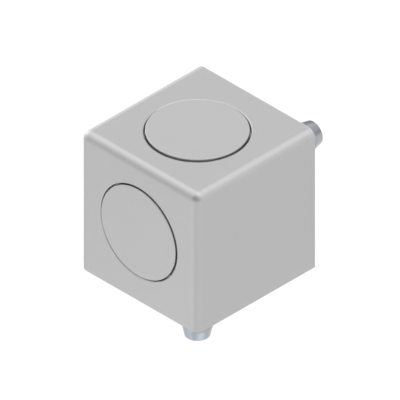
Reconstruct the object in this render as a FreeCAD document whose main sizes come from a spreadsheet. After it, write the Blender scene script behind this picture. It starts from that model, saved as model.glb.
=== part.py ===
import FreeCAD, Part

import math
import os

import Sketcher
from FreeCAD import Placement, Rotation, Vector

# Two-way cube connector for square slotted profile.
#
# A die-cast cube joins two profile ends at a right angle. One profile butts on the
# bottom face and one on the right face. Each is held by one thread-forming screw,
# which goes in through the passage opposite, sits with its head on a seat wall inside
# the cube, and cuts its thread in the profile's core bore. A plastic cap closes each
# passage.
#
# The origin is the centre of the bottom face, with +Z up and +X towards the side screw.

# Driving sizes, in millimetres, degrees and pieces
SIZES = {
    # The cast cube
    "cube_edge": 40.0,
    "edge_radius": 2.25,
    "seat_wall": 5.5,
    "seat_corner_chamfer": 0.8,
    "passage_draft": 1.0,
    "screw_hole_clearance": 0.5,
    "screw_hole_chamfer": 0.4,
    # The lugs that keep a profile from turning about its one screw
    "profile_slot_width": 8.2,
    "lug_side_clearance": 0.2,
    "lug_inset": 2.2,
    "lug_length": 4.0,
    "lug_height": 1.5,
    "lug_draft": 4.0,
    "lug_chamfer": 0.4,
    "lug_count": 4,
    # The seat of a cap
    "ledge_width": 2.0,
    "cap_seat_depth": 1.6,
    "bore_run_out": 1.5,
    # The cap
    "cap_gap": 0.4,
    "cap_proud": 0.35,
    "cap_edge_chamfer": 0.35,
    "cap_wall": 1.6,
    "skirt_wall": 1.4,
    "skirt_depth": 5.0,
    "skirt_clearance": 0.25,
    "skirt_lead_in": 0.4,
    "rib_radius": 0.4,
    "rib_clearance": 0.03,
    "rib_lead_in": 1.0,
    "rib_count": 6,
    # The thread-forming screw
    "screw_length": 25.0,
    "thread_diameter": 8.0,
    "neck_diameter": 7.2,
    "neck_run_in": 0.4,
    "head_diameter": 16.0,
    "head_height": 6.0,
    "head_side_height": 2.8,
    "head_top_diameter": 10.0,
    "head_room": 3.0,
    "tip_diameter": 6.4,
    "tip_length": 3.8,
    "recess_across_lobes": 6.75,
    "recess_across_flutes": 4.85,
    "recess_lobe_radius": 0.55,
    "recess_depth": 3.4,
    "recess_lobes": 6,
}

# Sizes that follow from the driving ones
HALF_CUBE = "(sizes.cube_edge / 2)"
FLOOR_DEPTH = "(sizes.cube_edge - sizes.seat_wall)"
BORE_END = "(sizes.cap_seat_depth + sizes.skirt_depth + sizes.bore_run_out)"
BORE_RADIUS = "(sizes.head_diameter / 2 + sizes.head_room)"
PASSAGE_TAPER = f"(({FLOOR_DEPTH} - {BORE_END}) * tan(sizes.passage_draft))"
FLOOR_RADIUS = f"({BORE_RADIUS} - {PASSAGE_TAPER})"
CAP_SEAT_RADIUS = f"({BORE_RADIUS} + sizes.ledge_width)"
SCREW_HOLE_DIAMETER = "(sizes.thread_diameter + 2 * sizes.screw_hole_clearance)"
LUG_WIDTH = "(sizes.profile_slot_width - 2 * sizes.lug_side_clearance)"
LUG_INNER = f"({HALF_CUBE} - sizes.lug_inset - sizes.lug_length)"
LUG_OUTER = f"({HALF_CUBE} - sizes.lug_inset)"
CAP_THICKNESS = "(sizes.cap_seat_depth + sizes.cap_proud)"
SKIRT_RADIUS = f"({BORE_RADIUS} - sizes.skirt_clearance)"
SKIRT_INSIDE = f"({SKIRT_RADIUS} - sizes.skirt_wall)"
RIB_MIDDLE = f"({BORE_RADIUS} - sizes.rib_clearance - sizes.rib_radius)"
LOBE_MIDDLE = "(sizes.recess_across_lobes / 2 - sizes.recess_lobe_radius)"
FLUTE_RADIUS = "(sizes.recess_across_flutes / 2)"

NEAR = 0.001
ACROSS_AXIS_INDEX = -1
UPRIGHT_AXIS_INDEX = -2
ADDING = ("Pad", "Revolution")
CUTTING = ("Pocket", "Groove", "Hole")
NO_TURN = Rotation()
FACE_DOWN = Rotation(Vector(1, 0, 0), 180)
INTO_TOP = Rotation(Vector(0, 0, 1), 180)
INTO_LEFT = Rotation(Vector(0, 0, 1), -90)
TURN_TO_SIDE = Rotation(Vector(0, 1, 0), -90)


def fill_sheet(doc):
    sheet = doc.addObject("Spreadsheet::Sheet", "sizes")
    for row, (alias, value) in enumerate(SIZES.items(), start=1):
        sheet.set(f"A{row}", alias)
        sheet.set(f"B{row}", str(value))
        sheet.setAlias(f"B{row}", alias)
    doc.recompute()


def new_body(doc, label, turn, **position):
    """Make a named body, turned, with its place bound to the sheet."""
    body = doc.addObject("PartDesign::Body", label)
    body.Placement = Placement(Vector(), turn)
    for axis, expression in position.items():
        body.setExpression(f"Placement.Base.{axis}", expression)
    return body


def sketch_on(body, name, role, turn=NO_TURN, **offset):
    """Attach a sketch to one of the body's origin planes, with its offset bound to the sheet."""
    plane = next(item for item in body.Origin.OriginFeatures if item.Role == role)
    sketch = body.newObject("Sketcher::SketchObject", name)
    sketch.AttachmentSupport = (plane, [""])
    sketch.MapMode = "FlatFace"
    sketch.AttachmentOffset = Placement(Vector(), turn)
    for axis, expression in offset.items():
        sketch.setExpression(f"AttachmentOffset.Base.{axis}", expression)
    return sketch


def dimension(sketch, kind, where, expression):
    """Add one dimension and bind it to the sheet."""
    value = float(sketch.evalExpression(expression))
    index = sketch.addConstraint(Sketcher.Constraint(kind, *where, value))
    sketch.setExpression(f"Constraints[{index}]", expression)


def outline(sketch, corners):
    """Draw a closed outline through (x, y) corners of the sheet."""
    count = len(corners)
    points = [Vector(sketch.evalExpression(x), sketch.evalExpression(y)) for x, y in corners]
    for start, end in zip(points, points[1:] + points[:1]):
        sketch.addGeometry(Part.LineSegment(start, end), False)
    for side in range(count):
        sketch.addConstraint(Sketcher.Constraint("Coincident", side, 2, (side + 1) % count, 1))
    for side, corner in enumerate(corners):
        place_corner(sketch, side, corner, corners[side - 1] if side else ())


def place_corner(sketch, side, corner, previous):
    """Fix a side's first point: on an axis, level with the corner before, or by a dimension."""
    choices = (("DistanceX", UPRIGHT_AXIS_INDEX, "Vertical"), ("DistanceY", ACROSS_AXIS_INDEX, "Horizontal"))
    for index, (kind, axis, level) in enumerate(choices):
        if corner[index] == "0":
            sketch.addConstraint(Sketcher.Constraint("PointOnObject", side, 1, axis))
        elif previous and previous[index] == corner[index]:
            sketch.addConstraint(Sketcher.Constraint(level, side - 1))
        else:
            dimension(sketch, kind, (-1, 1, side, 1), corner[index])


def circle(sketch, diameter, distance=None):
    """Draw a circle on the sketch's origin, or out along its first axis."""
    middle = sketch.evalExpression(distance) if distance else 0.0
    radius = sketch.evalExpression(diameter) / 2
    sketch.addGeometry(Part.Circle(Vector(middle, 0, 0), Vector(0, 0, 1), radius), False)
    sketch.addConstraint(Sketcher.Constraint("PointOnObject", 0, 3, ACROSS_AXIS_INDEX))
    if distance:
        dimension(sketch, "DistanceX", (-1, 1, 0, 3), distance)
    else:
        sketch.addConstraint(Sketcher.Constraint("PointOnObject", 0, 3, UPRIGHT_AXIS_INDEX))
    dimension(sketch, "Diameter", (0,), diameter)


def feature(body, kind, name, **settings):
    """Add a feature, set its properties (text is an expression of the sheet) and build it."""
    before = body.Shape.Volume if body.Shape.Solids else 0.0
    made = body.newObject(f"PartDesign::{kind}", name)
    for setting, value in settings.items():
        if isinstance(value, str) and "sizes." in value:
            made.setExpression(setting, value)
        else:
            setattr(made, setting, value)
    body.Tip = made
    body.Document.recompute()
    grown = body.Shape.Volume - before
    wrong_way = grown > 0 if kind in CUTTING else grown < 0 and kind in ADDING
    if abs(grown) < NEAR or wrong_way:
        raise RuntimeError(f"{name} changed the volume by {grown:.3f} mm3")
    return made


def around(body, name, original, sketch, axis, count):
    """Repeat a feature about an axis of its sketch."""
    return feature(body, "PolarPattern", name, Originals=[original], Axis=(sketch, [axis]),
                   Angle=360, Occurrences=count)


def edges_where(body, wanted):
    """Name the edges of the body's last feature that pass a test."""
    named = enumerate(body.Tip.Shape.Edges, start=1)
    return body.Tip, [f"Edge{index}" for index, edge in named if wanted(edge)]


def build_cube(doc):
    body = new_body(doc, "cube_body", NO_TURN)
    square = sketch_on(body, "square", "XY_Plane")
    outline(square, [(f"-{HALF_CUBE}", f"-{HALF_CUBE}"), (HALF_CUBE, f"-{HALF_CUBE}"),
                     (HALF_CUBE, HALF_CUBE), (f"-{HALF_CUBE}", HALF_CUBE)])
    feature(body, "Pad", "block", Profile=square, Length="sizes.cube_edge")
    round_free_edges(body)
    cut_passage(body, "top_passage", INTO_TOP, y="sizes.cube_edge")
    cut_passage(body, "side_passage", INTO_LEFT, x=f"-{HALF_CUBE}", y=HALF_CUBE)
    finish_profile_face(body, "lower", "XY_Plane", FACE_DOWN)
    finish_profile_face(body, "side", "YZ_Plane", NO_TURN, y=HALF_CUBE, z=HALF_CUBE)
    return body


def round_free_edges(body):
    """Round the edges that no profile butts against."""
    half = body.evalExpression(HALF_CUBE)

    def is_free(edge):
        middle = edge.CenterOfMass
        return middle.z > NEAR and middle.x < half - NEAR

    feature(body, "Fillet", "free_edges", Base=edges_where(body, is_free), Radius="sizes.edge_radius")


def cut_passage(body, name, turn, **opening):
    """Cut a cap seat, a bore for the cap's skirt and a drafted passage down to the seat wall.

    The sketch's upright axis starts at the opening and points into the cube.
    """
    section = sketch_on(body, f"{name}_section", "XZ_Plane", turn, **opening)
    outline(section, [
        ("0", "0"),
        (CAP_SEAT_RADIUS, "0"),
        (CAP_SEAT_RADIUS, "sizes.cap_seat_depth"),
        (BORE_RADIUS, "sizes.cap_seat_depth"),
        (BORE_RADIUS, BORE_END),
        (FLOOR_RADIUS, f"{FLOOR_DEPTH} - sizes.seat_corner_chamfer"),
        (f"{FLOOR_RADIUS} - sizes.seat_corner_chamfer", FLOOR_DEPTH),
        ("0", FLOOR_DEPTH),
    ])
    feature(body, "Groove", name, Profile=section, ReferenceAxis=(section, ["V_Axis"]), Angle=360)


def finish_profile_face(body, name, role, turn, **offset):
    """Drill the screw hole of a profile face and raise its four lugs."""
    hole_sketch = sketch_on(body, f"{name}_hole_sketch", role, turn, **offset)
    circle(hole_sketch, SCREW_HOLE_DIAMETER)
    body.Document.recompute()
    feature(body, "Hole", f"{name}_screw_hole", Profile=hole_sketch, DepthType="Dimension",
            DrillPoint="Flat", Depth="sizes.seat_wall", Diameter=SCREW_HOLE_DIAMETER)
    to_sketch = hole_sketch.Placement.inverse()

    def is_mouth(edge):
        return to_sketch.multVec(edge.CenterOfMass).Length < NEAR

    feature(body, "Chamfer", f"{name}_hole_mouth", Base=edges_where(body, is_mouth),
            Size="sizes.screw_hole_chamfer")

    lug_sketch = sketch_on(body, f"{name}_lug_sketch", role, turn, **offset)
    half_width = f"({LUG_WIDTH} / 2)"
    outline(lug_sketch, [(LUG_INNER, f"-{half_width}"), (LUG_OUTER, f"-{half_width}"),
                         (LUG_OUTER, half_width), (LUG_INNER, half_width)])
    lug = feature(body, "Pad", f"{name}_lug", Profile=lug_sketch, Length="sizes.lug_height",
                  TaperAngle="-sizes.lug_draft")
    around(body, f"{name}_lugs", lug, lug_sketch, "N_Axis", "sizes.lug_count")
    height = body.evalExpression("sizes.lug_height")

    def is_lug_top(edge):
        return abs(to_sketch.multVec(edge.CenterOfMass).z - height) < NEAR

    feature(body, "Chamfer", f"{name}_lug_edges", Base=edges_where(body, is_lug_top),
            Size="sizes.lug_chamfer")


def build_cap(doc, label, turn, **position):
    """Mould a cap: a disc with its edge broken, and a skirt with crush ribs."""
    body = new_body(doc, label, turn, **position)
    section = sketch_on(body, "cap_section", "XZ_Plane")
    inside = f"({CAP_THICKNESS} - sizes.cap_wall)"
    edge = f"({CAP_SEAT_RADIUS} - sizes.cap_gap)"
    outline(section, [
        ("0", inside),
        (SKIRT_INSIDE, inside),
        (SKIRT_INSIDE, "-sizes.skirt_depth"),
        (f"({SKIRT_RADIUS} - sizes.skirt_lead_in)", "-sizes.skirt_depth"),
        (SKIRT_RADIUS, "sizes.skirt_lead_in - sizes.skirt_depth"),
        (SKIRT_RADIUS, "0"),
        (edge, "0"),
        (edge, f"{CAP_THICKNESS} - sizes.cap_edge_chamfer"),
        (f"{edge} - sizes.cap_edge_chamfer", CAP_THICKNESS),
        ("0", CAP_THICKNESS),
    ])
    feature(body, "Revolution", "disc_and_skirt", Profile=section, ReferenceAxis=(section, ["V_Axis"]),
            Angle=360)
    rib_sketch = sketch_on(body, "rib_sketch", "XY_Plane", FACE_DOWN)
    circle(rib_sketch, "2 * sizes.rib_radius", RIB_MIDDLE)
    rib = feature(body, "Pad", "crush_rib", Profile=rib_sketch,
                  Length="sizes.skirt_depth - sizes.rib_lead_in")
    around(body, "crush_ribs", rib, rib_sketch, "N_Axis", "sizes.rib_count")
    return body


def build_screw(doc, label, turn, **position):
    """Turn a screw with its seat at the origin and its head above, and press its lobed recess."""
    body = new_body(doc, label, turn, **position)
    section = sketch_on(body, "screw_section", "XZ_Plane")
    head = "(sizes.head_diameter / 2)"
    neck = "(sizes.neck_diameter / 2)"
    thread = "(sizes.thread_diameter / 2)"
    outline(section, [
        ("0", "sizes.head_height"),
        ("(sizes.head_top_diameter / 2)", "sizes.head_height"),
        (head, "sizes.head_side_height"),
        (head, "0"),
        (neck, "0"),
        (neck, "sizes.neck_run_in - sizes.seat_wall"),
        (thread, "-sizes.seat_wall"),
        (thread, "sizes.tip_length - sizes.screw_length"),
        ("(sizes.tip_diameter / 2)", "-sizes.screw_length"),
        ("0", "-sizes.screw_length"),
    ])
    feature(body, "Revolution", "head_and_shank", Profile=section, ReferenceAxis=(section, ["V_Axis"]),
            Angle=360)
    lobe_sketch = sketch_on(body, "lobe_sketch", "XY_Plane", z="sizes.head_height")
    draw_lobe(lobe_sketch)
    lobe = feature(body, "Pocket", "recess_lobe", Profile=lobe_sketch, Length="sizes.recess_depth")
    around(body, "recess", lobe, lobe_sketch, "N_Axis", "sizes.recess_lobes")
    return body


def draw_lobe(sketch):
    """Draw one lobe of a lobed recess, with half of the flute on each side of it."""
    lobe = sketch.evalExpression("sizes.recess_lobe_radius")
    out = sketch.evalExpression(LOBE_MIDDLE)
    root = sketch.evalExpression(FLUTE_RADIUS)
    half_step = math.pi / sketch.evalExpression("sizes.recess_lobes")
    slant = out * math.cos(half_step)
    flute = (out ** 2 + root ** 2 - 2 * root * slant - lobe ** 2) / (2 * (lobe + slant - root))
    above = Vector(math.cos(half_step), math.sin(half_step))
    below = Vector(above.x, -above.y)
    lobe_middle = Vector(out, 0)
    centre = Vector()
    turn_to_lobe = [(lobe_middle - side * (root + flute)) for side in (below, above)]
    toward_lobe = [math.atan2(way.y, way.x) % (2 * math.pi) for way in turn_to_lobe]
    sketch.addGeometry(Part.LineSegment(centre, below * root), False)
    add_arc(sketch, below * (root + flute), flute, toward_lobe[0], math.pi - half_step)
    add_arc(sketch, lobe_middle, lobe, toward_lobe[0] - math.pi, toward_lobe[1] - math.pi)
    add_arc(sketch, above * (root + flute), flute, math.pi + half_step, toward_lobe[1])
    sketch.addGeometry(Part.LineSegment(above * root, centre), False)
    for rule in (
        ("Coincident", 0, 1, -1, 1),
        ("Coincident", 4, 2, 0, 1),
        ("Coincident", 0, 2, 1, 2),
        ("Tangent", 1, 1, 2, 1),
        ("Tangent", 2, 2, 3, 2),
        ("Coincident", 3, 1, 4, 1),
        ("Symmetric", 0, 2, 4, 1, ACROSS_AXIS_INDEX),
        ("PointOnObject", 1, 3, 0),
        ("PointOnObject", 3, 3, 4),
        ("PointOnObject", 2, 3, ACROSS_AXIS_INDEX),
    ):
        sketch.addConstraint(Sketcher.Constraint(*rule))
    dimension(sketch, "DistanceX", (-1, 1, 4, 1), f"{FLUTE_RADIUS} * cos(180 / sizes.recess_lobes)")
    dimension(sketch, "DistanceY", (-1, 1, 4, 1), f"{FLUTE_RADIUS} * sin(180 / sizes.recess_lobes)")
    dimension(sketch, "DistanceX", (-1, 1, 2, 3), LOBE_MIDDLE)
    dimension(sketch, "Radius", (2,), "sizes.recess_lobe_radius")


def add_arc(sketch, middle, radius, start, end):
    whole = Part.Circle(middle, Vector(0, 0, 1), radius)
    sketch.addGeometry(Part.ArcOfCircle(whole, start, end), False)


def check(doc, bodies):
    """Stop on any failed object, any loose sketch and any body that is not one sound solid."""
    for item in doc.Objects:
        if "Invalid" in item.State or "Error" in item.State:
            raise RuntimeError(f"{item.Label} failed: {item.State}")
        if item.TypeId == "Sketcher::SketchObject" and not item.FullyConstrained:
            raise RuntimeError(f"{item.Label} is not fully constrained")
    for body in bodies:
        shape = body.Shape
        if shape.isNull() or not shape.isValid() or len(shape.Solids) != 1:
            raise RuntimeError(f"{body.Label} is not one valid solid")


def write(bodies):
    os.makedirs("parts", exist_ok=True)
    for body in bodies:
        body.Shape.exportStep(f"parts/{body.Label}.step")
        box = body.Shape.BoundBox
        size = f"{box.XLength:.2f} x {box.YLength:.2f} x {box.ZLength:.2f} mm"
        print(f"{body.Label}: {body.Shape.Volume:.1f} mm3, {size}")


def main():
    doc = FreeCAD.newDocument("cube_connector")
    fill_sheet(doc)
    seat_depth = "sizes.cap_seat_depth"
    bodies = [
        build_cube(doc),
        build_cap(doc, "top_cap", NO_TURN, z=f"sizes.cube_edge - {seat_depth}"),
        build_cap(doc, "side_cap", TURN_TO_SIDE, x=f"{seat_depth} - {HALF_CUBE}", z=HALF_CUBE),
        build_screw(doc, "lower_screw", NO_TURN, z="sizes.seat_wall"),
        build_screw(doc, "side_screw", TURN_TO_SIDE, x=f"{HALF_CUBE} - sizes.seat_wall", z=HALF_CUBE),
    ]
    doc.recompute()
    check(doc, bodies)
    write(bodies)


main()
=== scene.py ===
import math

import bmesh
import bpy
from bpy.props import FloatProperty, FloatVectorProperty, IntProperty, PointerProperty
from mathutils import Matrix, Vector


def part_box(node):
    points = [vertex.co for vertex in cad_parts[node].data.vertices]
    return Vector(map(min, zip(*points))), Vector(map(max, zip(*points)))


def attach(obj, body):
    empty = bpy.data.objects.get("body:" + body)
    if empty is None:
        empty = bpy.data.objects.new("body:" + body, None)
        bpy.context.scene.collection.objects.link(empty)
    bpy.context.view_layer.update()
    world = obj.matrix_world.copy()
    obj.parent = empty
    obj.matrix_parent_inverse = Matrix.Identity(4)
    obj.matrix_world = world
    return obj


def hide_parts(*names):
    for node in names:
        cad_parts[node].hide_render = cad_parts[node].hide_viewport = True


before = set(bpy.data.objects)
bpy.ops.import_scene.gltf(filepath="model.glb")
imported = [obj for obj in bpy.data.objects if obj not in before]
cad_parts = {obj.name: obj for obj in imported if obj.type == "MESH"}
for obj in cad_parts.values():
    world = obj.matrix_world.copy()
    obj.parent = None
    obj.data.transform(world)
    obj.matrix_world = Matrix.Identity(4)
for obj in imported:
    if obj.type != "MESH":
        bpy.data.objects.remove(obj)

bl_info = {
    "name": "Cube connector",
    "version": (1, 0, 0),
    "blender": (4, 5, 0),
    "location": "3D View > Sidebar > Connector",
    "description": "Dresses the frame of a two-way cube connector for slotted profile",
    "category": "Add Mesh",
}

# Sizes read from the frame. The origin is the middle of the cube's bottom face.
MM = 0.001
CUBE_LOW, CUBE_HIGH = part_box("cube_body")
CAP_LOW, CAP_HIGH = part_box("top_cap")
SCREW_LOW, SCREW_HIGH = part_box("lower_screw")
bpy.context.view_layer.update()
HALF_CUBE = -CUBE_LOW.x
CUBE_EDGE = 2 * HALF_CUBE
LUG_HEIGHT = -CUBE_LOW.z
CAP_RADIUS = CAP_HIGH.x
CAP_PROUD = CAP_HIGH.z - CUBE_EDGE
HEAD_RADIUS = SCREW_HIGH.x

# How finely the pieces are divided
TURNED_STEPS = 128
THREAD_STEPS = 64
RIB_STEPS = 24
ROUNDING_STEPS = 6
CUBE_ROUNDING_STEPS = 10

# Points closer than this are one, edges sharper than this stay sharp, and tools that cut or join
# reach this far past the surface
WELD = 0.004 * MM
SHARP_ANGLE = math.radians(32)
OVERLAP = 1 * MM

# Forms of a metric thread: the slope of its flanks, and the share of the pitch on its flat crest
THREAD_FLANK = math.radians(30)
THREAD_CREST = 1 / 8

# Soft lights of the sky, and dark flags with a strength below nothing. Each has an azimuth, an
# elevation and a half angle in degrees, and a strength.
SKY_LIGHTS = {
    "wide back light": (230, 44, 65, 0.26),
    "wide left flag": (78, 11, 71, -0.91),
    "low back left light": (197, 15, 39, 1.6),
    "right light": (308, 45, 32, 0.55),
    "back flag": (213, 27, 43, -1.09),
    "back right flag": (287, 23, 42, -0.81),
    "small flag on the horizon": (227, 0, 20, -1.15),
    "front flag": (8, 16, 40, -0.42),
    "small high back light": (216, 65, 20, 0.59),
}

# Lamps that each light a pool of the floor. Each has the x, y and radius of its pool in
# millimetres, and a power in watts.
FLOOR_LAMPS = {
    "left_lamp": (-290, 130, 200, 30),
    "front_lamp": (-30, -165, 160, 37),
}

FULL_TURN = 2 * math.pi
QUARTER_TURN = math.pi / 2

# Each passage opens in one face, with +Z of its own frame pointing out of the opening
TOP_OPENING = Matrix.Translation((0, 0, CUBE_EDGE))
SIDE_OPENING = (Matrix.Translation((-HALF_CUBE, 0, HALF_CUBE))
                @ Matrix.Rotation(-QUARTER_TURN, 4, "Y"))

# Each profile face, with +Z of its own frame pointing out of the cube
LOWER_FACE = Matrix.Rotation(math.pi, 4, "X")
SIDE_FACE = (Matrix.Translation((HALF_CUBE, 0, HALF_CUBE))
             @ Matrix.Rotation(QUARTER_TURN, 4, "Y"))


def linear(code):
    """Turn an sRGB hex colour into linear red, green and blue."""
    channels = [int(code[place:place + 2], 16) / 255 for place in (0, 2, 4)]
    return [c / 12.92 if c <= 0.04045 else ((c + 0.055) / 1.055) ** 2.4 for c in channels]


def length(name, description, millimetres):
    return FloatProperty(name=name, description=description, default=millimetres * MM, min=0.0,
                         subtype="DISTANCE", unit="LENGTH", precision=4)


def angle(name, description, degrees):
    return FloatProperty(name=name, description=description, default=math.radians(degrees),
                         subtype="ANGLE", unit="ROTATION")


def colour(name, description, code):
    return FloatVectorProperty(name=name, description=description, default=linear(code),
                               min=0.0, max=1.0, subtype="COLOR", size=3)


def share(name, description, default):
    return FloatProperty(name=name, description=description, default=default, min=0.0, max=1.0,
                         subtype="FACTOR")


def brightness(name, description, default):
    return FloatProperty(name=name, description=description, default=default, min=0.0)


def count(name, description, default):
    return IntProperty(name=name, description=description, default=default, min=3)


class CastBodySettings(bpy.types.PropertyGroup):
    edge_radius: length("Edge radius", "Rounding of the edges that no profile butts against", 2.25)
    seat_wall: length("Seat wall", "Wall between a screw's head and its profile", 5.5)
    seat_corner_radius: length("Seat corner", "Fillet where a passage meets its seat wall", 0.8)
    bore_radius: length("Bore radius", "Bore that holds a cap's skirt", 11.0)
    bore_depth: length("Bore depth", "Depth at which the drafted passage starts", 8.1)
    passage_draft: angle("Passage draft", "Taper that lets the core leave the casting", 1.0)
    cap_seat_radius: length("Cap seat radius", "Round recess that takes the rim of a cap", 12.9)
    cap_seat_depth: length("Cap seat depth", "Depth of that recess", 1.6)
    mouth_rounding: length("Mouth rounding", "Rounding of the recess's edge, chamfer of the bore's", 0.45)
    screw_hole_radius: length("Screw hole radius", "Clearance hole of a screw", 4.5)
    screw_hole_chamfer: length("Screw hole chamfer", "Chamfer on the profile face", 0.4)
    lug_width: length("Lug width", "Width of a lug, to suit the profile's slot", 7.8)
    lug_length: length("Lug length", "Length of a lug towards the middle of the face", 4.0)
    lug_inset: length("Lug inset", "Distance from a lug to the cube's side", 2.2)
    lug_draft: angle("Lug draft", "Taper of a lug", 4.0)
    lug_rounding: length("Lug rounding", "Rounding of a lug's edges", 0.4)
    metal: colour("Metal", "Colour of the blasted aluminium", "B4B4B4")
    metal_roughness: share("Metal roughness", "Roughness of the blasted aluminium", 0.4)


class CoverCapSettings(bpy.types.PropertyGroup):
    side_proud: length("Side cap proud", "How far the side cap stands out of its face", 0.15)
    rim_rounding: length("Rim rounding", "Rounding of the cap's outer edge", 0.15)
    plate: length("Plate", "Thickness of the cap's middle", 1.6)
    skirt_radius: length("Skirt radius", "Outside of the skirt", 10.75)
    skirt_wall: length("Skirt wall", "Wall of the skirt", 1.4)
    skirt_depth: length("Skirt depth", "Length of the skirt below the rim", 5.0)
    skirt_rounding: length("Skirt rounding", "Rounding of the skirt's end", 0.4)
    rib_radius: length("Rib radius", "Radius of a crush rib", 0.4)
    rib_reach: length("Rib reach", "Distance from the axis to the outside of a rib", 10.97)
    rib_lead_in: length("Rib lead-in", "Length of skirt without ribs at its end", 1.0)
    rib_count: count("Ribs", "Number of crush ribs", 6)
    plastic: colour("Plastic", "Colour of the moulded plastic", "B5B5B5")
    plastic_roughness: share("Plastic roughness", "Roughness of the moulded plastic", 0.38)


class ScrewSettings(bpy.types.PropertyGroup):
    screw_length: length("Length", "Length under the head", 25.0)
    head_height: length("Head height", "Height of the head", 6.0)
    head_rounding: length("Head rounding", "Rounding of the head's top", 3.2)
    neck_radius: length("Neck radius", "Plain neck under the head", 3.6)
    neck_fillet: length("Neck fillet", "Fillet between neck and head", 0.35)
    neck_run_in: length("Neck run-in", "Length over which the neck widens to the thread", 0.4)
    thread_radius: length("Thread radius", "Outside of the thread", 4.0)
    thread_depth: length("Thread depth", "Height of the thread's teeth", 0.68)
    pitch: length("Pitch", "Distance from one turn of the thread to the next", 1.25)
    tip_radius: length("Tip radius", "Radius of the tapered end", 3.2)
    tip_length: length("Tip length", "Length over which the end widens to the thread", 3.8)
    tip_rounding: length("Tip rounding", "Rounding at the very end", 0.15)
    plain_tip: length("Plain tip", "Length of the end before the thread starts", 2.4)
    recess_out: length("Recess lobes", "Radius over the lobes of the drive recess", 3.375)
    recess_in: length("Recess flutes", "Radius between the lobes", 2.425)
    recess_depth: length("Recess depth", "Depth of the drive recess", 3.4)
    recess_lobes: count("Lobes", "Number of lobes of the recess", 6)
    zinc: colour("Zinc", "Colour of the bright zinc plating", "A5A7A9")
    zinc_cast: colour("Zinc cast", "Colour of the plating where it turns blue", "9CA6B3")
    zinc_roughness: share("Zinc roughness", "Roughness of the plating", 0.24)


class StageSettings(bpy.types.PropertyGroup):
    view_width: length("View width", "Width that the camera shows", 96.15)
    view_right: length("View right", "Camera's shift to the right of the cube's middle", 0.625)
    view_down: length("View down", "Camera's shift below the cube's middle", 0.264)
    view_distance: length("View distance", "Distance of the camera", 300.0)
    view_azimuth: angle("View azimuth", "Turn of the camera round the part", -45.0)
    view_elevation: angle("View elevation", "Height of the camera above the horizon", 35.0)
    floor_drop: length("Floor drop", "How far the floor lies below the part", 250.0)
    floor_size: length("Floor size", "Half the side of the floor", 6000.0)
    floor_paint: colour("Floor", "Colour of the floor", "EEEEEE")
    lamp_height: length("Lamp height", "Height of the floor lamps over the floor", 1200.0)
    lamp_radius: length("Lamp radius", "Radius of a floor lamp, which softens its shadows", 50.0)
    sky: brightness("Sky", "Brightness of the plain part of the sky", 1.36)
    darkest: brightness("Flags", "Brightness of the darkest flag", 0.05)


# Mesh making
def turned(profile):
    """Spin a profile of (radius, height) or (radius, height, rounding) points round the Z axis.

    A profile that starts on the axis also ends on it, and any other is closed.
    """
    bm = bmesh.new()
    points = [bm.verts.new((point[0], 0, point[1])) for point in profile]
    for pair in zip(points, points[1:]):
        bm.edges.new(pair)
    if profile[0][0] > 0:
        bm.edges.new((points[-1], points[0]))
    for vert, point in zip(points, profile):
        if len(point) == 3:
            bmesh.ops.bevel(bm, geom=[vert], offset=point[2], offset_type="OFFSET",
                            segments=ROUNDING_STEPS, profile=0.5, affect="VERTICES", material=-1)
    bmesh.ops.spin(bm, geom=bm.verts[:] + bm.edges[:], cent=(0, 0, 0), axis=(0, 0, 1),
                   angle=FULL_TURN, steps=TURNED_STEPS, use_merge=True)
    return tidied(bm)


def tidied(bm):
    """Weld what meets and turn all faces outwards."""
    bmesh.ops.remove_doubles(bm, verts=bm.verts, dist=WELD)
    bmesh.ops.recalc_face_normals(bm, faces=bm.faces)
    return bm


def moved(bm, place):
    bmesh.ops.transform(bm, matrix=place, verts=bm.verts)
    return bm


def arc(middle, radius, start, end):
    """List the points of a rounding, with its angles in degrees from the radial direction."""
    for step in range(ROUNDING_STEPS + 1):
        turn = math.radians(start + (end - start) * step / ROUNDING_STEPS)
        yield (middle[0] + radius * math.cos(turn), middle[1] + radius * math.sin(turn))


def as_mesh(bm, name):
    mesh = bpy.data.meshes.new(name)
    bm.to_mesh(mesh)
    bm.free()
    return mesh


def in_scene(name, data):
    """Make an object and put it in the scene."""
    item = bpy.data.objects.new(name, data)
    bpy.context.scene.collection.objects.link(item)
    return item


def combined(bm, tool, operation):
    """Cut one closed mesh out of another, or join it on."""
    stock = in_scene("stock", as_mesh(bm, "stock"))
    cutter = in_scene("tool", as_mesh(tool, "tool"))
    step = stock.modifiers.new("combine", "BOOLEAN")
    step.operation = operation
    step.solver = "EXACT"
    step.object = cutter
    result = bmesh.new()
    result.from_object(stock, bpy.context.evaluated_depsgraph_get())
    for item in (stock, cutter):
        mesh = item.data
        bpy.data.objects.remove(item)
        bpy.data.meshes.remove(mesh)
    if not result.faces or any(not edge.is_manifold for edge in result.edges):
        raise RuntimeError(f"{operation} left an open mesh")
    return result


def add_piece(bm, name, node, material):
    """Make the finished object of a piece, which stands for its CAD node."""
    tidied(bm)
    for face in bm.faces:
        face.smooth = True
    for edge in bm.edges:
        edge.smooth = edge.calc_face_angle(math.pi) < SHARP_ANGLE
    piece = in_scene(name, as_mesh(bm, name))
    piece.data.materials.append(material)
    even = piece.modifiers.new("even_shading", "WEIGHTED_NORMAL")
    even.keep_sharp = True
    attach(piece, "root")
    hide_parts(node)


# Cast body
def rounded_cube(sizes):
    """Round the five edges of the cube that no profile butts against."""
    bm = bmesh.new()
    bmesh.ops.create_cube(bm, size=CUBE_EDGE, matrix=Matrix.Translation((0, 0, HALF_CUBE)))

    def is_free(edge):
        middle = (edge.verts[0].co + edge.verts[1].co) / 2
        return middle.z > WELD and middle.x < HALF_CUBE - WELD

    bmesh.ops.bevel(bm, geom=[edge for edge in bm.edges if is_free(edge)],
                    offset=sizes.edge_radius, offset_type="OFFSET", segments=CUBE_ROUNDING_STEPS,
                    profile=0.5, affect="EDGES", material=-1)
    return bm


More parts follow.
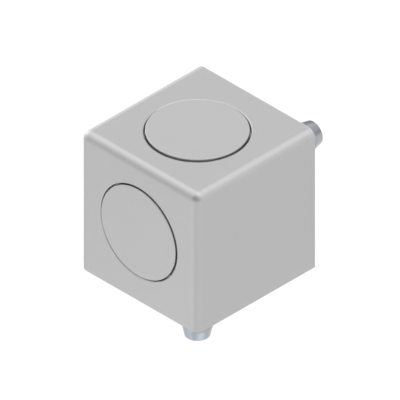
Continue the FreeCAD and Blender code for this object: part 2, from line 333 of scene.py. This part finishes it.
def passage(sizes):
    """Turn the shape of one passage, from beyond its opening to beyond its screw hole."""
    floor = sizes.seat_wall - CUBE_EDGE
    narrowing = (-floor - sizes.bore_depth) * math.tan(sizes.passage_draft)
    hole = sizes.screw_hole_radius
    rounding = sizes.mouth_rounding
    return turned([
        (0, OVERLAP),
        (sizes.cap_seat_radius + rounding, OVERLAP),
        *arc((sizes.cap_seat_radius + rounding, -rounding), rounding, 90, 180),
        (sizes.cap_seat_radius, -sizes.cap_seat_depth),
        (sizes.bore_radius + rounding, -sizes.cap_seat_depth),
        (sizes.bore_radius, -sizes.cap_seat_depth - rounding),
        (sizes.bore_radius, -sizes.bore_depth),
        (sizes.bore_radius - narrowing, floor, sizes.seat_corner_radius),
        (hole, floor),
        (hole, sizes.screw_hole_chamfer - CUBE_EDGE),
        (hole + sizes.screw_hole_chamfer, -CUBE_EDGE),
        (hole + sizes.screw_hole_chamfer, -CUBE_EDGE - OVERLAP),
        (0, -CUBE_EDGE - OVERLAP),
    ])


def lugs(sizes):
    """Make the four drafted, rounded lugs of a profile face, rooted a little way into it."""
    bm = bmesh.new()
    height = LUG_HEIGHT + OVERLAP
    drafted = math.tan(sizes.lug_draft)
    foot_length = sizes.lug_length + 2 * OVERLAP * drafted
    foot_width = sizes.lug_width + 2 * OVERLAP * drafted
    narrowing = 2 * height * drafted
    middle = HALF_CUBE - sizes.lug_inset - sizes.lug_length / 2
    for quarter in range(4):
        place = (Matrix.Rotation(quarter * QUARTER_TURN, 4, "Z")
                 @ Matrix.Translation((middle, 0, (LUG_HEIGHT - OVERLAP) / 2)))
        verts = bmesh.ops.create_cube(bm, size=1)["verts"]
        bmesh.ops.scale(bm, vec=(foot_length, foot_width, height), verts=verts)
        top = [vert for vert in verts if vert.co.z > 0]
        narrowed = (1 - narrowing / foot_length, 1 - narrowing / foot_width, 1)
        bmesh.ops.scale(bm, vec=narrowed, verts=top)
        bmesh.ops.transform(bm, matrix=place, verts=verts)
    edges = [edge for edge in bm.edges if any(vert.co.z > 0 for vert in edge.verts)]
    bmesh.ops.bevel(bm, geom=edges, offset=sizes.lug_rounding, offset_type="OFFSET",
                    segments=ROUNDING_STEPS, profile=0.5, affect="EDGES", material=-1)
    return tidied(bm)


def cast_body(sizes):
    """Join the lugs to the cube and cut the passages.

    One passage is turned half a step, so that no facets of the two coincide.
    """
    bm = rounded_cube(sizes)
    for face in (LOWER_FACE, SIDE_FACE):
        bm = combined(bm, moved(lugs(sizes), face), "UNION")
    half_step = Matrix.Rotation(FULL_TURN / TURNED_STEPS / 2, 4, "Z")
    for opening in (TOP_OPENING, SIDE_OPENING @ half_step):
        bm = combined(bm, moved(passage(sizes), opening), "DIFFERENCE")
    return bm


# Cover caps
def cover_cap(sizes, top):
    """Turn the cap, with its seat at the origin and its face at a height, and join its ribs on."""
    inside = sizes.skirt_radius - sizes.skirt_wall
    bm = turned([
        (0, top),
        (CAP_RADIUS, top, sizes.rim_rounding),
        (CAP_RADIUS, 0),
        (sizes.skirt_radius, 0),
        (sizes.skirt_radius, -sizes.skirt_depth, sizes.skirt_rounding),
        (inside, -sizes.skirt_depth, sizes.skirt_rounding),
        (inside, top - sizes.plate, sizes.skirt_rounding),
        (0, top - sizes.plate),
    ])
    depth = sizes.skirt_depth - sizes.rib_lead_in
    ribs = bmesh.new()
    for number in range(sizes.rib_count):
        place = (Matrix.Rotation(number * FULL_TURN / sizes.rib_count, 4, "Z")
                 @ Matrix.Translation((sizes.rib_reach - sizes.rib_radius, 0, (OVERLAP - depth) / 2)))
        bmesh.ops.create_cone(ribs, cap_ends=True, segments=RIB_STEPS, radius1=sizes.rib_radius,
                              radius2=sizes.rib_radius, depth=depth + OVERLAP, matrix=place)
    return combined(bm, tidied(ribs), "UNION")


# Screws
def eased(share_done):
    held = min(max(share_done, 0.0), 1.0)
    return held * held * (3 - 2 * held)


def tip_slope(sizes):
    """How fast the tapered end widens to the thread."""
    return (sizes.thread_radius - sizes.tip_radius) / sizes.tip_length


def threaded_shank(sizes, top):
    """Wind the thread from the tapered end up to a height, and cut both of its ends flat.

    The teeth grow over two turns at the tapered end and fade out over one turn at the top.
    """
    bottom = sizes.plain_tip - sizes.screw_length
    run_in = 2 * sizes.pitch
    flank = sizes.thread_depth * math.tan(THREAD_FLANK)
    crest = sizes.pitch * THREAD_CREST
    root_radius = sizes.thread_radius - sizes.thread_depth
    tooth = [
        (root_radius, 0),
        (sizes.thread_radius, flank),
        (sizes.thread_radius, flank + crest),
        (root_radius, 2 * flank + crest),
        (root_radius, sizes.pitch),
    ]
    start = bottom - run_in
    turns = math.ceil((top - start) / sizes.pitch) + 1
    bm = bmesh.new()
    points = [bm.verts.new((radius, 0, start + height)) for radius, height in tooth]
    for pair in zip(points, points[1:]):
        bm.edges.new(pair)
    bmesh.ops.spin(bm, geom=bm.verts[:] + bm.edges[:], cent=(0, 0, 0), axis=(0, 0, 1),
                   dvec=(0, 0, sizes.pitch / THREAD_STEPS), angle=turns * FULL_TURN,
                   steps=turns * THREAD_STEPS, use_merge=False)
    bmesh.ops.remove_doubles(bm, verts=bm.verts, dist=WELD)
    for vert in bm.verts:
        tapered = sizes.tip_radius + tip_slope(sizes) * (vert.co.z + sizes.screw_length)
        outside = min(sizes.thread_radius, tapered)
        fade = eased((vert.co.z - bottom) / run_in) * eased((top - vert.co.z) / sizes.pitch)
        radius = vert.co.xy.length
        wanted = outside - fade * (sizes.thread_radius - radius)
        vert.co.xy *= wanted / radius
    for height, above in ((bottom, False), (top, True)):
        bmesh.ops.bisect_plane(bm, geom=bm.verts[:] + bm.edges[:] + bm.faces[:], dist=WELD / 10,
                               plane_co=(0, 0, height), plane_no=(0, 0, 1), clear_outer=above,
                               clear_inner=not above)
    return bm


def drawn_out(bm, height, outline):
    """Extend the open end at a height through (radius, height) rings, and close it."""
    edges = [edge for edge in bm.edges
             if edge.is_boundary and all(abs(vert.co.z - height) < WELD for vert in edge.verts)]
    for radius, level in outline:
        made = bmesh.ops.extrude_edge_only(bm, edges=edges)["geom"]
        edges = [item for item in made if isinstance(item, bmesh.types.BMEdge) and item.is_boundary]
        for vert in {vert for edge in edges for vert in edge.verts}:
            vert.co.xy *= radius / vert.co.xy.length
            vert.co.z = level
    bmesh.ops.contextual_create(bm, geom=edges)


def drive_recess(sizes):
    """Make the lobed prism with a pointed floor that the punch presses into the head."""
    bm = bmesh.new()
    mean = (sizes.recess_out + sizes.recess_in) / 2
    swing = (sizes.recess_out - sizes.recess_in) / 2
    bmesh.ops.create_circle(bm, segments=TURNED_STEPS, radius=mean)
    for vert in bm.verts:
        around = math.atan2(vert.co.y, vert.co.x)
        vert.co.xy *= (mean + swing * math.cos(sizes.recess_lobes * around)) / mean
    edges = bm.edges[:]
    floor_height = sizes.head_height - sizes.recess_depth
    bmesh.ops.translate(bm, vec=(0, 0, floor_height), verts=bm.verts)
    made = bmesh.ops.extrude_edge_only(bm, edges=edges)["geom"]
    raised = [item for item in made if isinstance(item, bmesh.types.BMVert)]
    upper = [item for item in made if isinstance(item, bmesh.types.BMEdge) and item.is_boundary]
    bmesh.ops.translate(bm, vec=(0, 0, sizes.recess_depth + OVERLAP), verts=raised)
    bmesh.ops.contextual_create(bm, geom=upper)
    floor = bmesh.ops.contextual_create(bm, geom=edges)["faces"]
    point = bmesh.ops.poke(bm, faces=floor)["verts"]
    bmesh.ops.translate(bm, vec=(0, 0, -OVERLAP), verts=point)
    return tidied(bm)


def thread_forming_screw(sizes, seat_wall):
    """Build the screw with its seat at the origin, its head above and its tapered end below."""
    top = -seat_wall
    bm = threaded_shank(sizes, top)
    end = -sizes.screw_length
    rounding = sizes.tip_rounding
    tip_middle = (sizes.tip_radius + (tip_slope(sizes) - 1) * rounding, end + rounding)
    drawn_out(bm, sizes.plain_tip + end, arc(tip_middle, rounding, 0, -90))
    fillet = sizes.neck_fillet
    crown = sizes.head_rounding
    drawn_out(bm, top, [
        (sizes.neck_radius, top + sizes.neck_run_in),
        *arc((sizes.neck_radius + fillet, -fillet), fillet, 180, 90),
        (HEAD_RADIUS, 0),
        *arc((HEAD_RADIUS - crown, sizes.head_height - crown), crown, 0, 90),
    ])
    return combined(tidied(bm), drive_recess(sizes), "DIFFERENCE")


# Materials
def add_node(tree, kind, values=(), links=(), **settings):
    """Add a node with its settings, its socket values and the sockets that feed it."""
    node = tree.nodes.new(kind)
    for name, value in settings.items():
        setattr(node, name, value)
    for socket, value in dict(values).items():
        node.inputs[socket].default_value = value
    for socket, source in dict(links).items():
        tree.links.new(source, node.inputs[socket])
    return node


def new_material(name):
    """Start a material, and give its node tree, its shader and the piece's own coordinates."""
    material = bpy.data.materials.new(name)
    material.use_nodes = True
    tree = material.node_tree
    tree.nodes.clear()
    shader = add_node(tree, "ShaderNodeBsdfPrincipled")
    add_node(tree, "ShaderNodeOutputMaterial", links={"Surface": shader.outputs["BSDF"]})
    place = add_node(tree, "ShaderNodeTexCoord").outputs["Object"]
    return material, tree, shader, place


def grain(tree, place, size):
    """Lay an even grain of a real size in metres over the piece."""
    values = {"Scale": 1 / size, "Detail": 2.0, "Roughness": 0.55}
    return add_node(tree, "ShaderNodeTexNoise", values, {"Vector": place}).outputs["Fac"]


def spread(tree, factor, low, high):
    """Spread the middle of a noise over a range of values."""
    values = {"From Min": 0.3, "From Max": 0.7, "To Min": low, "To Max": high}
    return add_node(tree, "ShaderNodeMapRange", values, {"Value": factor}).outputs["Result"]


def blended(tree, factor, first, second):
    """Blend from one colour to another."""
    colours = {6: [*first, 1], 7: [*second, 1]}
    return add_node(tree, "ShaderNodeMix", colours, {0: factor}, data_type="RGBA").outputs[2]


def tinted(tree, factor, paint, swing):
    """Vary a colour a little to its darker and its lighter side."""
    darker = [channel * (1 - swing) for channel in paint]
    lighter = [channel * (1 + swing) for channel in paint]
    return blended(tree, factor, darker, lighter)


def dented(tree, factor, depth, strength):
    """Raise a pattern by a real depth in metres."""
    values = {"Strength": strength, "Distance": depth}
    return add_node(tree, "ShaderNodeBump", values, {"Height": factor}).outputs["Normal"]


def blasted_cast_aluminium(settings):
    """Die-cast aluminium, blasted after casting.

    Blasting takes the shiny casting skin off and leaves an even, silky grey with broad soft
    reflections along the rounded edges. The dents are about 0.1 mm wide. They are drawn 0.3 mm
    wide, so that they just show.
    """
    material, tree, shader, place = new_material("blasted_cast_aluminium")
    dents = grain(tree, place, 0.3 * MM)
    clouds = grain(tree, place, 9 * MM)
    shader.inputs["Metallic"].default_value = 1.0
    tree.links.new(tinted(tree, clouds, settings.metal, 0.012), shader.inputs["Base Color"])
    rough = settings.metal_roughness
    tree.links.new(spread(tree, dents, rough - 0.03, rough + 0.03), shader.inputs["Roughness"])
    tree.links.new(dented(tree, dents, 0.01 * MM, 0.35), shader.inputs["Normal"])
    return material


def moulded_polyamide(settings):
    """Polyamide with silver pigment, injection moulded in a spark-eroded mould.

    The flakes of the pigment mirror soft light much as the casting does, and the mould's fine
    grain keeps the caps matt. The grain is about 0.1 mm wide. It is drawn 0.35 mm wide, so that
    it just shows.
    """
    material, tree, shader, place = new_material("moulded_polyamide")
    texture = grain(tree, place, 0.35 * MM)
    clouds = grain(tree, place, 12 * MM)
    shader.inputs["IOR"].default_value = 1.53
    shader.inputs["Metallic"].default_value = 0.8
    tree.links.new(tinted(tree, clouds, settings.plastic, 0.01), shader.inputs["Base Color"])
    rough = settings.plastic_roughness
    tree.links.new(spread(tree, texture, rough - 0.04, rough + 0.04), shader.inputs["Roughness"])
    tree.links.new(dented(tree, texture, 0.01 * MM, 0.3), shader.inputs["Normal"])
    return material


def bright_zinc_plating(settings):
    """Steel screw with bright, blue-passivated zinc plating.

    The plating is smooth and mirrors the room in soft bands, with a cold blue cast that comes
    and goes along the screw.
    """
    material, tree, shader, place = new_material("bright_zinc_plating")
    clouds = grain(tree, place, 2.5 * MM)
    plating = blended(tree, spread(tree, clouds, 0.0, 1.0), settings.zinc, settings.zinc_cast)
    shader.inputs["Metallic"].default_value = 1.0
    tree.links.new(plating, shader.inputs["Base Color"])
    rough = settings.zinc_roughness
    tree.links.new(spread(tree, clouds, rough - 0.05, rough + 0.05), shader.inputs["Roughness"])
    return material


def backdrop_paper(settings):
    """Matt white backdrop paper, with fibres of about 2 mm and an even, shadowless white."""
    material, tree, shader, place = new_material("backdrop_paper")
    fibres = grain(tree, place, 2 * MM)
    tree.links.new(tinted(tree, fibres, settings.floor_paint, 0.005), shader.inputs["Base Color"])
    shader.inputs["Roughness"].default_value = 0.9
    shader.inputs["Specular IOR Level"].default_value = 0.2
    return material


# Stage
def add_floor(settings):
    bm = bmesh.new()
    bmesh.ops.create_grid(bm, x_segments=1, y_segments=1, size=settings.floor_size)
    moved(bm, Matrix.Translation((0, 0, SCREW_LOW.z - settings.floor_drop)))
    floor = in_scene("floor", as_mesh(bm, "floor"))
    floor.data.materials.append(backdrop_paper(settings))


def towards(azimuth, elevation):
    """Give the direction of a light, with the azimuth turned from -Y towards -X, in degrees."""
    turn = math.radians(azimuth)
    rise = math.radians(elevation)
    return (-math.sin(turn) * math.cos(rise), -math.cos(turn) * math.cos(rise), math.sin(rise))


def add_sky(settings):
    """Make an even studio sky, with soft lights and soft dark flags in it."""
    world = bpy.data.worlds.new("studio_sky")
    world.use_nodes = True
    tree = world.node_tree
    tree.nodes.clear()
    direction = add_node(tree, "ShaderNodeTexCoord").outputs["Generated"]
    total = None
    for azimuth, elevation, half_angle, strength in SKY_LIGHTS.values():
        aimed = add_node(tree, "ShaderNodeVectorMath", {1: towards(azimuth, elevation)},
                         {0: direction}, operation="DOT_PRODUCT").outputs["Value"]
        rim = math.cos(math.radians(half_angle))
        values = {"From Min": rim, "From Max": 1.0, "To Min": 0.0, "To Max": strength}
        patch = add_node(tree, "ShaderNodeMapRange", values, {"Value": aimed},
                         interpolation_type="SMOOTHSTEP").outputs["Result"]
        add = add_node(tree, "ShaderNodeMath", {1: settings.sky}, {0: patch}, operation="ADD")
        if total:
            tree.links.new(total, add.inputs[1])
        total = add.outputs["Value"]
    held = add_node(tree, "ShaderNodeMath", {1: settings.darkest}, {0: total}, operation="MAXIMUM")
    background = add_node(tree, "ShaderNodeBackground", links={"Color": held.outputs["Value"]})
    add_node(tree, "ShaderNodeOutputWorld", links={"Surface": background.outputs["Background"]})
    bpy.context.scene.world = world


def add_floor_lamps(settings):
    """Light the floor beside the part, so that its sides and lower screw mirror brighter paper."""
    height = SCREW_LOW.z - settings.floor_drop + settings.lamp_height
    for name, (x, y, radius, power) in FLOOR_LAMPS.items():
        data = bpy.data.lights.new(name, "SPOT")
        data.energy = power
        data.spot_size = 2 * math.atan(radius * MM / settings.lamp_height)
        data.spot_blend = 1.0
        data.shadow_soft_size = settings.lamp_radius
        lamp = in_scene(name, data)
        lamp.location = (x * MM, y * MM, height)


def add_camera(settings):
    """Look at the cube's middle from the photograph's side, without perspective."""
    data = bpy.data.cameras.new("camera")
    data.type = "ORTHO"
    data.ortho_scale = settings.view_width
    data.clip_end = settings.floor_size
    camera = in_scene("camera", data)
    back = Vector((math.sin(settings.view_azimuth) * math.cos(settings.view_elevation),
                   -math.cos(settings.view_azimuth) * math.cos(settings.view_elevation),
                   math.sin(settings.view_elevation)))
    turn = (-back).to_track_quat("-Z", "Y")
    right = turn @ Vector((1, 0, 0))
    up = turn @ Vector((0, 1, 0))
    middle = Vector((0, 0, HALF_CUBE))
    camera.location = (middle + right * settings.view_right - up * settings.view_down
                       + back * settings.view_distance)
    camera.rotation_mode = "QUATERNION"
    camera.rotation_quaternion = turn
    bpy.context.scene.camera = camera


# Add-on
class CONNECTOR_OT_cast_body(bpy.types.Operator):
    """Model the die-cast cube with its passages, screw holes and lugs"""
    bl_idname = "connector.cast_body"
    bl_label = "Cast body"

    def execute(self, context):
        settings = context.scene.connector_body
        metal = blasted_cast_aluminium(settings)
        add_piece(cast_body(settings), "cast_cube", "cube_body", metal)
        return {"FINISHED"}


class CONNECTOR_OT_cover_caps(bpy.types.Operator):
    """Model the two cover caps and set them in their seats"""
    bl_idname = "connector.cover_caps"
    bl_label = "Cover caps"

    def execute(self, context):
        settings = context.scene.connector_caps
        seat_depth = context.scene.connector_body.cap_seat_depth
        plastic = moulded_polyamide(settings)
        caps = (
            ("top_cap", TOP_OPENING, CAP_PROUD),
            ("side_cap", SIDE_OPENING, settings.side_proud),
        )
        for node, opening, proud in caps:
            place = opening @ Matrix.Translation((0, 0, -seat_depth))
            cap = moved(cover_cap(settings, seat_depth + proud), place)
            add_piece(cap, f"{node}_moulding", node, plastic)
        return {"FINISHED"}


class CONNECTOR_OT_screws(bpy.types.Operator):
    """Model the two thread-forming screws and set them on their seat walls"""
    bl_idname = "connector.screws"
    bl_label = "Screws"

    def execute(self, context):
        settings = context.scene.connector_screws
        seat_wall = context.scene.connector_body.seat_wall
        zinc = bright_zinc_plating(settings)
        for node, opening in (("lower_screw", TOP_OPENING), ("side_screw", SIDE_OPENING)):
            place = opening @ Matrix.Translation((0, 0, seat_wall - CUBE_EDGE))
            screw = moved(thread_forming_screw(settings, seat_wall), place)
            add_piece(screw, f"{node}_threaded", node, zinc)
        return {"FINISHED"}


class CONNECTOR_OT_stage(bpy.types.Operator):
    """Set up the floor, the studio sky, the floor lamps and the camera"""
    bl_idname = "connector.stage"
    bl_label = "Stage"

    def execute(self, context):
        settings = context.scene.connector_stage
        add_floor(settings)
        add_sky(settings)
        add_floor_lamps(settings)
        add_camera(settings)
        context.scene.view_settings.view_transform = "Standard"
        return {"FINISHED"}


class VIEW3D_PT_connector(bpy.types.Panel):
    bl_label = "Cube connector"
    bl_space_type = "VIEW_3D"
    bl_region_type = "UI"
    bl_category = "Connector"

    def draw(self, context):
        for operator, group in zip(OPERATORS, SETTINGS):
            box = self.layout.box()
            box.operator(operator.bl_idname)
            settings = getattr(context.scene, group)
            for name in settings.bl_rna.properties.keys():
                if name not in ("rna_type", "name"):
                    box.prop(settings, name)


OPERATORS = (
    CONNECTOR_OT_cast_body,
    CONNECTOR_OT_cover_caps,
    CONNECTOR_OT_screws,
    CONNECTOR_OT_stage,
)
SETTINGS = {
    "connector_body": CastBodySettings,
    "connector_caps": CoverCapSettings,
    "connector_screws": ScrewSettings,
    "connector_stage": StageSettings,
}
CLASSES = (*SETTINGS.values(), *OPERATORS, VIEW3D_PT_connector)


def register():
    for item in CLASSES:
        bpy.utils.register_class(item)
    for name, group in SETTINGS.items():
        setattr(bpy.types.Scene, name, PointerProperty(type=group))


def unregister():
    for name in SETTINGS:
        delattr(bpy.types.Scene, name)
    for item in reversed(CLASSES):
        bpy.utils.unregister_class(item)


def main():
    register()
    bpy.ops.connector.cast_body()
    bpy.ops.connector.cover_caps()
    bpy.ops.connector.screws()
    bpy.ops.connector.stage()


if __name__ == "__main__":
    main()
